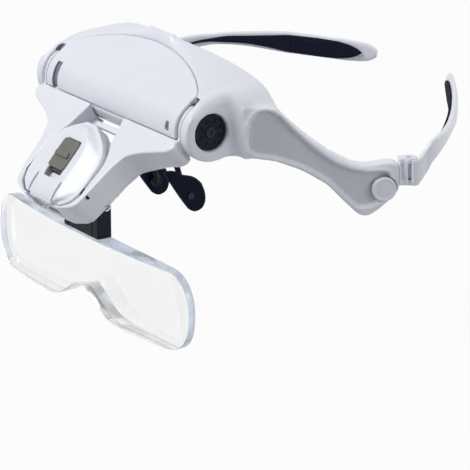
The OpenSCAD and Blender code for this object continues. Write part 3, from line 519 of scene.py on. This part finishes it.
def shell_cuts():
    """Arm slots, bores, hollows behind the caps, room for the pad's ends, the buttons'
    and the links' sockets, and room for the cells."""
    scoop = eased([[56.45, -6], [56.45, 7.0], [56.8, 8.1], [57.5, 8.9], [58.9, 9.7],
                   [61.2, 10.5], [63.4, 10.9], [70.4, 11.1], [70.4, -6]], 0.5, 0.25)
    cuts = []
    for side in (1, -1):
        cuts += [
            made("cut", sector(0, TUBE_R + 2, SLOT_IN, SLOT_OUT, -76, 75.5), side=side),
            made("cut", sector(0, TUBE_R - 0.2, SLOT_IN, SLOT_OUT, 75, 146), side=side),
            made("cut", bar(5.6, SLOT_IN, SLOT_OUT), side=side),
            made("cut", bar(3.25, SLOT_IN, BOSS_X + 1), side=side),
            made("cut", bar(7.6, SLOT_OUT + 2.1, BOSS_X + 1), side=side), slot_hole(side),
            made("cut", prism(scoop, -20, 20, "z"), side=side),
            made("cut", block([24.8, 7.5, -7.5], [42.8, 60, 6.5]), side=side),
            made("cut", bar(5.25, -2.6, 1, BUTTON_Y, BUTTON_Z), "wing", side),
            made("cut", block([-5.8, 62.95, -23.3], [-3.1, 93, -16.7]), "wing", side)]
    return cuts + [
        made("cut", bar(CELL_R, -PAIR_X, PAIR_X)),
        made("cut", block([-PAIR_X, -CELL_R, 0], [PAIR_X, CELL_R, 20]), "panel"),
        made("cut", bar(CELL_R, -THIRD_X, THIRD_X, THIRD_Y, THIRD_Z), "panel"),
        made("cut", block([-THIRD_X, THIRD_Y - CELL_R, THIRD_Z],
                          [THIRD_X, THIRD_Y + CELL_R, 20]), "panel")]


def head_shell():
    body = made("head_shell_moulding", lofted(shell_rings(STATIONS)))
    combined(body, [wing(1), wing(-1)], "UNION")
    combined(body, shell_cuts())

    def shoulder(co):
        """Weight of the broad easing where the brow runs over into the wings: a bell
        about each wing's top edge, and one about the hollow behind the pivot cap."""
        x, y, z = unplaced(co, "pivot").T
        x = np.abs(x)
        top = np.hypot(x - 56.5 - 0.48 * np.clip(y, 0, 30),
                       z - 11 + 0.45 * np.clip(y - 18, 0, 20))
        behind = np.hypot(x - 58.3, y - 8.6)
        off_cap = np.clip((np.hypot(y, z) - 8.6) / 1.2, 0, 1)
        bead = np.clip((z - 9.3) / 1.2, 0, 1) * (y > 10) + (y <= 10)
        return (off_cap * (x > 53) * (y > -9) * np.maximum(
            np.exp(-(top / 6) ** 4) * np.clip((31 - y) / 4, 0, 1) * bead,
            np.exp(-(behind / 3.4) ** 4)))

    def off_edges(co):
        """Weight of the general easing: small along the lid's edge and on the wings."""
        p = unplaced(co, "pivot")
        x, (t, rise) = np.abs(p[:, 0]), off_panel(p)
        lid = (np.abs(t - arch(np.clip(x, 0, 49))) < 1.6) & (np.abs(rise) < 2.6)
        return np.where(lid | ((x > 60) & (p[:, 1] > 11)), 0.45, 1.0)

    moulded(body, 0.615, 1)
    relaxed(body, 4, off_edges)
    relaxed(body, 100, shoulder)
    fitted(body, "head", ["head_shell"], WHITE)
    at = on_panel(HOLE_T)

    def sunk(p, normal):
        """Painted shade: the slots' end holes are 1, the grey, and the floors of the wings'
        panels 2, the darker matt white.
        """
        hole = (np.hypot(np.abs(p[:, 0]) - SLOT_X, p[:, 1] - at[0]) < 2.1) & (
            np.abs(p[:, 2] - at[1]) < 3) & (off_panel(p)[1] < -0.25)
        c, s = cos_sin(WING_ANGLE)
        out = (np.abs(p[:, 0]) - WING_X0) * c - p[:, 1] * s
        along = (np.abs(p[:, 0]) - WING_X0) * s + p[:, 1] * c
        facing = np.abs(normal[:, 0]) * c - normal[:, 1] * s
        floor = (out > -1.95) & (out < -0.95) & (along > 13) & (facing > 0.85)
        return np.where(hole, 1, np.where(floor, 2, 0))

    more_materials(body, [SHADE_GREY, MATT_WHITE_PAINTED_SHADE], sunk)


def battery_cover():
    """Lid 1.6 thick over tube and panel, with its finger slot and small window."""
    x = 47.8 * np.sin(np.radians(np.linspace(-90, 90, 97)))
    t = arch(x) - 0.38
    outer = [around(TUBE_R, a) for a in np.linspace(-14, 52, 24)]
    outer += [on_panel(t * f) for f in np.linspace(0, 1, 12)]
    inner = [on_panel(t * f, 1.6) for f in np.linspace(1, 0, 12)]
    inner += [around(TUBE_R - 1.6, a) for a in np.linspace(52, -14, 24)]
    rings = np.stack([np.stack([x, o[0] + 0 * x, o[1] + 0 * x], axis=-1)
                      for o in outer + inner], axis=1)
    body = made("battery_cover_moulding", lofted(rings))
    combined(body, [made("cut", sector(10.75, TUBE_R + 2, -43.2, -39.6, -18, 43)),
                    made("cut", block([40.9, -13, -0.2], [43.2, -11.0, 3.5]))])
    moulded(body, 0.36, 2)
    fitted(body, "cover", ["battery_cover"], WHITE)

    # Painted shade: the inner faces of the finger slot and of the small window get the grey.
    def sunk(middle, _):
        x, y, z = middle.T
        r, a = np.hypot(y, z), np.degrees(np.arctan2(z, -y))
        slot = (x > -43.4) & (x < -39.4) & (a < 43)
        window = (x > 40.7) & (x < 43.4) & (a > -1.5) & (a < 17)
        return (r < TUBE_R - 0.22) & (r > 10.6) & (slot | window)

    more_materials(body, [SHADE_GREY], sunk)


def pad_frame():
    """Curved plate behind the brow: a rounded band at each x."""
    x = np.linspace(-51.5, 51.5, 90)
    y0 = rim_back(x) + 2.5
    low, top = -9.3 + 0.0012 * x * x, rim_top(x, 0) - 2.6
    ring = [[0, 0.0, 0.6], [0, 1.0, -0.6], [0.4, 1.0, 0], [1.2, 1.0, 0], [1.6, 1.0, -0.6],
            [1.6, 0.0, 0.6], [1.2, 0.0, 0], [0.4, 0.0, 0]]
    rings = np.stack([np.stack([x, y0 + q[0], low + (top - low) * q[1] + q[2]], axis=-1)
                      for q in ring], axis=1)
    body = moulded(made("pad_frame_moulding", lofted(rings)), 0.5, 3)
    fitted(body, "head", ["pad_frame"], WHITE)


PUFF = 0.9  # farthest move of the foam's points


def forehead_pad():
    """Foam cushion, swollen by a cloth simulation, which moves no point past PUFF."""
    body = copied("forehead_pad_foam", "forehead_pad")
    moulded(body, 1.4, 6)
    start = np.array([v.co for v in body.data.vertices])
    cloth = body.modifiers.new("swell", "CLOTH")
    cloth.settings.use_pressure = True
    cloth.settings.uniform_pressure_force = 4
    cloth.settings.effector_weights.gravity = 0
    cloth.settings.quality = 4
    scene = bpy.context.scene
    scene.frame_start, scene.frame_end = 1, 20
    for number in range(scene.frame_start, scene.frame_end + 1):
        scene.frame_set(number)
    settled(body)
    scene.frame_set(1)
    move = np.array([v.co for v in body.data.vertices]) - start
    size = np.linalg.norm(move, axis=1, keepdims=True)
    move *= np.minimum(1, PUFF * MM / np.maximum(size, 1e-9))
    body.data.vertices.foreach_set("co", (start + move).ravel())
    step = body.modifiers.new("finer", "SUBSURF")
    step.levels = step.render_levels = 1
    settled(body)
    fitted(body, "head", ["forehead_pad"], FOAM)


# ---------------------------------------------------------------- lens arm and lamp

ARM_HALF = [[49.2, -0.6], [51.5, 1.7], [51.7, 3.2], [49.3, 5.7], [36, 10.3], [29.2, 14],
            [26.3, 21.2], [24.6, 31.8], [22.7, 40.3], [20.1, 42.8], [12.4, 45.2]]
WINDOW_HALF = [[12.2, -5], [12.2, 0], [15.8, 12], [18.9, 16.4], [20.7, 21.6], [20.7, 36.2],
               [18.4, 40.8], [13.6, 43.9]]
POCKET = [[18, 6.2], [42, 6.2], [34, 8.6], [27.6, 11.8], [25, 15.5], [22, 15.5]]


def down(points):
    """Distances down from the arm's top edge, as places along the arm."""
    p = np.asarray(points, float)
    return np.column_stack([p[:, 0], -ARM_TOP - p[:, 1]])


def lens_arm():
    """Yoke with its window and two rear pockets, a cross bar, and the two flanges that
    turn in the slots."""
    outline = eased(down(mirrored(ARM_HALF)), 1.1)
    body = made("lens_arm_moulding", prism(outline, ARM_FRONT - ARM_D, ARM_FRONT, "z"), "arm")
    cuts = [made("cut", prism(down(mirrored(WINDOW_HALF)), -4.8, 8.2, "z"), "arm"),
            made("cut", bar(TUBE_R + 0.35, -61, 61)),
            made("cut", block([-10.4, -57.2, -2.3], [10.4, -49.2, 8.2]), "arm")]
    for side in (1, -1):
        cuts.append(made("cut", prism(down(POCKET), -4.8, 5.2, "z"), "arm", side))
    combined(body, cuts)
    parts = [body, made("bar", block([-16.4, -16.4, -2.3], [16.4, -13.8, 0.3]), "arm")]
    for side in (1, -1):
        parts += [made("flange", sector(0, 11.4, 48.9, 50.8, -62, 68), side=side),
                  made("flange", sector(0, 13.9, 48.9, 50.8, -50, -13), side=side),
                  made("hub", bar(4.8, 48.5, 50.6), side=side),
                  made("shaft", bar(3.2, 48.5, 53.9), side=side)]
    body = moulded(joined("lens_arm_moulding", parts), 0.45, 7)
    fitted(body, "arm", ["lens_arm"], WHITE_ARM)


def lamp_covers():
    """Lamp mouldings; the front one has a groove each side of its nose and rolls over
    below its pivot, where its height stays under 1.7 + 2.5 (1 - ((-1 - y) / 8.42)^2)^0.5."""
    front = copied("lamp_front_moulding", "lamp_front_cover")
    combined(front, [made("cut", block([s * 8.6 - 0.5, -10, 0.4], [s * 8.6 + 0.5, 0.2, 7]),
                          "lamp") for s in (1, -1)])
    moulded(front, 0.33, 5)
    p = unplaced([v.co for v in front.data.vertices], "lamp")
    reach = np.clip((-1 - p[:, 1]) / 8.42, 0, 1)
    limit = 1.7 + 2.5 * np.sqrt(1 - reach ** 2)
    p[:, 2] = np.where(p[:, 1] < -1, np.minimum(p[:, 2], limit), p[:, 2])
    front.data.vertices.foreach_set("co", placed(p, "lamp").ravel())
    relaxed(front, 3)
    fitted(front, "lamp", ["lamp_front_cover"], WHITE_ARM)
    rear = moulded(copied("lamp_rear_moulding", "lamp_rear_cover"), 0.4, 3)
    fitted(rear, "lamp", ["lamp_rear_cover"], WHITE_ARM)


def switch_slider():
    """Rounded button with one raised rib across it, on its wider foot."""
    plate = eased([[-5.6, 4.2], [5.6, 4.2], [5.6, 17.7], [-5.6, 17.7]], 1.1, 0.2)
    rib = eased([[-4.4, 9.3], [4.4, 9.3], [4.4, 11.7], [-4.4, 11.7]], 0.25, 0.1)
    parts = [made("plate", prism(plate, 3.2, 4.9, "z"), "lamp"),
             made("rib", prism(rib, 4, 6.0, "z"), "lamp"),
             made("stem", block([-4.6, 5.0, 1.5], [4.6, 16.8, 4]), "lamp"),
             made("foot", block([-5.9, 3.4, 1.3], [5.9, 18.4, 2.1]), "lamp")]
    body = moulded(joined("switch_button", parts), 0.2, 3)
    fitted(body, "switch", ["switch_slider"], SWITCH)


# ---------------------------------------------------------------- hinges and legs

HINGE = placed([HINGE_X, HINGE_Y, HINGE_Z], "wing") / MM - PIVOT
LEG_LINE = np.array([HINGE, [100, 88.5, -1], [61.4, 117, -8.4], [24.4, 141.6, -8.5]])
LEG_HEIGHTS = np.array([[0, 5.6], [0.05, 5.6], [0.062, 10.8], [0.08, 10.8], [0.12, 10],
                        [0.17, 8.8], [0.22, 7.6], [0.3, 6], [0.38, 4.9], [0.52, 6.4],
                        [0.68, 9.7], [0.9, 9.6], [0.96, 8.4], [0.98, 6.8], [1, 3.4]])


def leg_rings(t, inner, outer, share, across=0.45, upright=0.62, steps=36, tall=None):
    """Rings across the leg: on the Bezier line c(t), a squared oval from inner to outer
    along the line's normal. It is as high as the leg times share, or as tall says, and
    near the hinge it stays at the hinge's height."""
    b = [(1 - t) ** 3, 3 * (1 - t) ** 2 * t, 3 * (1 - t) * t * t, t ** 3]
    c = sum(w[:, None] * p for w, p in zip(b, LEG_LINE))
    d = np.gradient(c, t, axis=0)[:, :2]
    d /= np.linalg.norm(d, axis=1, keepdims=True)
    out = np.column_stack([d[:, 1], -d[:, 0], np.zeros(len(t))])
    height = np.interp(t, LEG_HEIGHTS[:, 0], LEG_HEIGHTS[:, 1])
    for _ in range(3):
        height[1:-1] = (height[:-2] + 2 * height[1:-1] + height[2:]) / 4
    height = height * share if tall is None else tall + 0 * t
    inner, outer = (np.broadcast_to(e, len(t))[:, None, None] for e in (inner, outer))
    a = np.linspace(0, 2 * np.pi, steps, endpoint=False)
    u = np.sign(np.cos(a)) * np.abs(np.cos(a)) ** across
    v = np.sign(np.sin(a)) * np.abs(np.sin(a)) ** upright
    lift = c[:, 2] + (HINGE_Z - c[:, 2]) * np.clip(1 - (t - 0.03) / 0.12, 0, 1)
    lift = np.where(t < 0.055, HINGE_Z, lift)
    rings = c[:, None, :] + out[:, None, :] * ((inner + outer) / 2
                                               + (outer - inner) / 2 * u[None, :, None])
    rings[:, :, 2] = lift[:, None] + height[:, None] / 2 * v[None, :]
    return rings, out


def temple_leg(side, name):
    """Leg, its knuckle on the hinge pin, and a cheek that covers the hinge outside."""
    t = np.linspace(0.012, 1, 150)
    rings, _ = leg_rings(t, 0.0, np.interp(t, [0.012, 0.03, 0.05], [1.6, 1.9, 2.6]), 1.0)
    knuckle = prism(disc(2.2) + HINGE[:2], -22.4, -16.2, "z")
    t = np.linspace(0.008, 0.105, 44)
    cheek, _ = leg_rings(t, np.interp(t, [0.035, 0.06, 0.1], [3.6, 1.4, 1.0]),
                         np.interp(t, [0.008, 0.015, 0.035, 0.1], [4.3, 4.7, 4.7, 2.7]),
                         1.0, 0.6, 0.5, tall=np.interp(t, [0.04, 0.105], [10.8, 9.4]))
    body = joined("temple_leg_" + name + "_moulding",
                  [made("leg", lofted(rings), side=side), made("end", knuckle, side=side),
                   made("cheek", lofted(cheek), side=side)])
    moulded(body, 0.35, 4)
    combined(body, [made("bore", prism(disc(1.05) + HINGE[:2], -26, -12, "z"), side=side)])
    fitted(body, "leg_" + name, ["temple_leg_" + name], WHITE)


def leg_link(side, name):
    """The link's own form, with a round skin of 2.8 to 3.5 mm radius about the hinge pin
    between its ears, on the outer side in front of the leg."""
    a = np.radians(np.linspace(0, 76, 24))
    skin = [[HINGE_X + r * np.sin(b), HINGE_Y - r * np.cos(b)]
            for r, turn in ((3.5, a), (2.8, a[::-1])) for b in turn]
    node = "leg_link_" + name
    body = joined(node + "_moulding", [
        copied(node + "_moulding", node),
        made("skin", prism(np.array(skin), -24.3, -14.5, "z"), "wing", side)])
    moulded(body, 0.25, 3)
    fitted(body, "link_" + name, [node], WHITE)


def leg_grip(side, name):
    """Soft inlay: its inner face carries ribs, arcs about the oval's middle, of height
    0.14 sin(2 pi r / 1.7) mm inside an oval about 23 mm long."""
    t = np.linspace(0.26, 0.95, 420)
    share = np.interp(t, [0.26, 0.36, 0.44, 0.56, 0.63, 0.7, 0.8, 0.87, 0.91, 0.935, 0.95],
                      [0.12, 0.25, 0.5, 0.55, 0.66, 0.8, 0.86, 0.8, 0.62, 0.38, 0.08])
    rings, out = leg_rings(t, -1.2, -0.05, share, 0.5, 0.75, 56)
    centre = rings.mean(axis=1)
    along = np.concatenate([[0], np.cumsum(np.linalg.norm(np.diff(centre, axis=0), axis=1))])
    middle = along[np.searchsorted(t, 0.77)]
    s = np.broadcast_to((along - middle)[:, None], rings.shape[:2])
    h = rings[:, :, 2] - centre[:, 2][:, None]
    r = np.hypot(s, h * 1.5)
    face = np.cos(np.linspace(0, 2 * np.pi, 56, endpoint=False)) < -0.2
    mask = 1 / (1 + np.exp((r - 11.5) * 2)) * face[None, :]
    rings -= out[:, None, :] * (0.14 * np.sin(2 * np.pi * r / 1.7) * mask)[:, :, None]
    body = made("leg_grip_" + name + "_rubber", lofted(rings), side=side)
    fitted(body, "leg_" + name, ["leg_grip_" + name], RUBBER)


def release_button(side, name):
    """Turned button: a slightly domed face inside a raised rim."""
    r = np.array([0.02, 2, 3.2, 3.7, 4.1, 4.6, 4.9, 4.9, 4.9, 0.02])
    x = np.array([1.25, 1.2, 1.1, 1.08, 1.42, 1.45, 1.1, 0, -1.15, -1.15])
    a = np.linspace(0, 2 * np.pi, 72, endpoint=False)
    rings = np.stack([np.stack([np.full(72, x0), BUTTON_Y + r0 * np.cos(a),
                                BUTTON_Z + r0 * np.sin(a)], axis=-1) for x0, r0 in zip(x, r)])
    body = made("release_button_" + name + "_moulding", lofted(rings), "wing", side)
    moulded(body, 0.22, 4)
    fitted(body, "button_" + name, ["release_button_" + name], WHITE)


def pivot_cap(side, name):
    """Black cap: rim, sunk face, middle boss, and eight round dimples about it."""
    at = SLOT_OUT
    body = made("pivot_cap_" + name + "_moulding", bar(7.15, at + 2.65, at + 4.2), side=side)
    ring = made("cut", bar(6.35, at + 3.5, at + 5), side=side)
    combined(ring, [made("boss", bar(2.6, at, at + 6), side=side)])
    cuts = [ring, made("cut", bar(0.95, at, at + 6), side=side)]
    for k in range(8):
        a = math.radians(45 * k + 20)
        cuts.append(made("cut", bar(0.95, at + 2.9, at + 5, 4.7 * math.cos(a),
                                    4.7 * math.sin(a)), side=side))
    combined(body, cuts)
    moulded(body, 0.16, 2)
    fitted(body, "arm", ["pivot_cap_" + name], BLACK)


# ---------------------------------------------------------------- lens and nose rest

LENS_TOP, LENS_BACK = -51.4, -18.6
LENS_HALF, LENS_H, LENS_T, LENS_THIN = 71.7, 33.0, 8.4, 5.3


def lens_edges(x):
    """Top and low edge at x: level over the middle, then a squared oval
    r (1 - u^2.5)^0.4 round the ends; the low edge rises 11 exp(-(x / 13.5)^2)."""
    r = LENS_H / 2
    u = np.clip((np.abs(x) - LENS_HALF + r) / r, 0, 1)
    bow = r * np.maximum(1 - u ** 2.5, 0) ** 0.4
    return LENS_TOP - r + bow, LENS_TOP - r - bow + 11 * np.exp(-(x / 13.5) ** 2)


def lens():
    """Acrylic plate, flat behind, bowed in front, with polished rounded edges."""
    x = np.concatenate([np.linspace(-55, 55, 111), 55 + 16.69 * np.sin(
        np.linspace(0.03, np.pi / 2, 34))])
    x = np.unique(np.concatenate([x, -x]))
    top, low = lens_edges(x)
    thick = LENS_T - LENS_THIN * (x / LENS_HALF) ** 2
    mid_y, mid_z = LENS_BACK - thick / 2, (top + low) / 2
    h, w = (top - low) / 2, thick / 2
    edge = np.minimum(0.7, np.minimum(h, w) * 0.9)
    points = []
    for cy, cz, a0 in ((1, 1, 0), (-1, 1, 90), (-1, -1, 180), (1, -1, 270)):
        for a in np.radians(np.linspace(a0, a0 + 90, 6)):
            points.append([mid_y + cy * (w - edge) + edge * np.cos(a),
                           mid_z + cz * (h - edge) + edge * np.sin(a)])
    rings = np.stack([np.stack([x, p[0], p[1]], axis=-1) for p in points], axis=1)
    body = made("lens_acrylic", lofted(rings))
    tongue = made("tongue", block([-8, -24.1, LENS_TOP - 0.8], [8, -21.5, LENS_TOP + 7.6]))
    combined(body, [tongue], "UNION")
    body.data.set_sharp_from_angle(angle=math.radians(35))
    fitted(body, "lens", ["lens"], LENS)
    # The rim faces get the dark steel-blue acrylic as painted reflections.
    more_materials(body, [RIM_PAINTED_REFLECTION], lambda _, normal: np.abs(normal[:, 1]) < 0.72)


def lens_holder():
    """The holder's own form, with a fine groove each side of its face."""
    body = copied("lens_holder_moulding", "lens_holder")
    grooves = [made("cut", block([s * 9 - 0.25, -30, -52], [s * 9 + 0.25, -25.6, -39.5]))
               for s in (1, -1)]
    combined(body, grooves)
    moulded(body, 0.3, 3)
    fitted(body, "holder", ["lens_holder"], BLACK)


NOSE_OUTLINE = [[5, -27.8], [10.8, -28.4], [13.8, -30.6], [20, -32.4], [23.4, -35.4],
                [25.3, -40.2], [25.3, -44.2], [23.8, -46.6], [20.4, -47.6], [18, -46.6],
                [13.4, -40.4]]


def nose_pad(side, name):
    """Soft paddle of the outline's shape, thinner towards its edge."""
    body = made("nose_pad_" + name + "_rubber", prism(eased(NOSE_OUTLINE, 0.9), 12.2, 14.8),
                side=side)
    combined(body, [made("bore", bar(0.85, 11, 16, 17.6, -40), side=side)])
    moulded(body, 0.3, 9)
    fitted(body, "nose_" + name, ["nose_pad_" + name], RUBBER)


def softened(node, body, voxel, rounds, material):
    """A node's own form with its edges eased."""
    fitted(moulded(copied(node + "_moulding", node), voxel, rounds), body, [node],
           material)


# ---------------------------------------------------------------- camera and light

CAMERA_AT, CAMERA_AZIMUTH, CAMERA_ELEVATION = (1.0163, -0.7036, 0.4358), 55.265, 18.7
CAMERA_LENS = 238.4
AIM = (0, 0, 0.06)  # what the lamps look at


def camera():
    data = bpy.data.cameras.new("camera")
    data.sensor_width = 36
    data.lens = CAMERA_LENS
    obj = bpy.data.objects.new("camera", data)
    obj.location = CAMERA_AT
    obj.rotation_euler = (math.radians(90 - CAMERA_ELEVATION), 0,
                          math.radians(CAMERA_AZIMUTH))
    bpy.context.scene.collection.objects.link(obj)
    bpy.context.scene.camera = obj


def lamp(name, place, size, power):
    """Round area lamp that looks at AIM."""
    data = bpy.data.lights.new(name, "AREA")
    data.shape = "DISK"
    data.size = size
    data.energy = power
    obj = bpy.data.objects.new(name, data)
    obj.location = place
    track = np.array(AIM) - np.array(place)
    flat = math.hypot(track[0], track[1])
    obj.rotation_euler = (math.atan2(flat, -track[2]), 0, math.atan2(-track[0], track[1]))
    bpy.context.scene.collection.objects.link(obj)


def seen_mix(tree, target, lit, seen, amount):
    """Mixes two shaders, so that camera, glossy and transmission rays see the share
    amount of the second, and all other light comes from the first."""
    path = tree.nodes.new("ShaderNodeLightPath")
    most = path.outputs["Is Camera Ray"]
    for ray in ("Is Glossy Ray", "Is Transmission Ray"):
        node = tree.nodes.new("ShaderNodeMath")
        node.operation = "MAXIMUM"
        tree.links.new(most, node.inputs[0])
        tree.links.new(path.outputs[ray], node.inputs[1])
        most = node.outputs[0]
    share = tree.nodes.new("ShaderNodeMath")
    share.operation = "MULTIPLY"
    share.inputs[1].default_value = amount
    tree.links.new(most, share.inputs[0])
    mix = tree.nodes.new("ShaderNodeMixShader")
    tree.links.new(share.outputs[0], mix.inputs["Fac"])
    tree.links.new(lit, mix.inputs[1])
    tree.links.new(seen, mix.inputs[2])
    tree.links.new(mix.outputs[0], target)


def studio():
    """White surroundings, a pale floor just below the part, and three lamps."""
    world = bpy.data.worlds.new("studio")
    bpy.context.scene.world = world
    world.use_nodes = True
    tree = world.node_tree
    lit, seen = tree.nodes["Background"], tree.nodes.new("ShaderNodeBackground")
    lit.inputs["Color"].default_value = (0.90, 0.94, 1, 1)
    lit.inputs["Strength"].default_value = 0.24
    seen.inputs["Strength"].default_value = 1
    seen_mix(tree, tree.nodes["World Output"].inputs["Surface"], lit.outputs[0],
             seen.outputs[0], 1.0)
    mesh = bpy.data.meshes.new("floor")
    mesh.from_pydata([(x, y, -0.0002) for x, y in ((-6, -6), (6, -6), (6, 6), (-6, 6))],
                     [], [(0, 1, 2, 3)])
    floor = bpy.data.objects.new("floor", mesh)
    bpy.context.scene.collection.objects.link(floor)
    material = bpy.data.materials.new("pale_floor")
    material.use_nodes = True
    tree = material.node_tree
    tree.nodes["Principled BSDF"].inputs["Base Color"].default_value = (0.42, 0.42, 0.44, 1)
    tree.nodes["Principled BSDF"].inputs["Roughness"].default_value = 0.9
    glow = tree.nodes.new("ShaderNodeEmission")
    glow.inputs["Strength"].default_value = 1
    seen_mix(tree, tree.nodes["Material Output"].inputs["Surface"],
             tree.nodes["Principled BSDF"].outputs[0], glow.outputs[0], 0.955)
    floor.data.materials.append(material)
    lamp("key", (-0.75, -1.5, 1.9), 1.2, 44)
    lamp("side", (1.7, 0.5, 0.8), 1.0, 8)
    lamp("back", (0.2, 2.0, 0.8), 1.2, 13)
    bpy.context.scene.view_settings.view_transform = "Standard"


# ---------------------------------------------------------------- the whole

camera()
studio()

KEPT = {"steel": STEEL, "black_steel": BLACK_STEEL, "black_plastic": BLACK,
        "black_rubber": RUBBER, "cells": CELL, "board": BOARD, "led_clear": LED,
        "white_shell": WHITE, "grey_plastic": SWITCH, "foam": FOAM, "acrylic": LENS}
for subpart in frame["record"]["subparts"]:
    kept = frame["nodes"][subpart["node"]]
    kept.data.materials.clear()
    kept.data.materials.append(KEPT[subpart["material_slot"]])

head_shell()
battery_cover()
pad_frame()
forehead_pad()
lens_arm()
softened("arm_rear_cover", "arm", 0.4, 3, WHITE_ARM)
lamp_covers()
switch_slider()
for side, name in ((1, "left"), (-1, "right")):
    temple_leg(side, name)
    leg_grip(side, name)
    release_button(side, name)
    pivot_cap(side, name)
    nose_pad(side, name)
    leg_link(side, name)
lens()
lens_holder()
softened("nose_bracket", "head", 0.3, 3, BLACK)
softened("nose_arms", "head", 0.2, 4, BLACK)
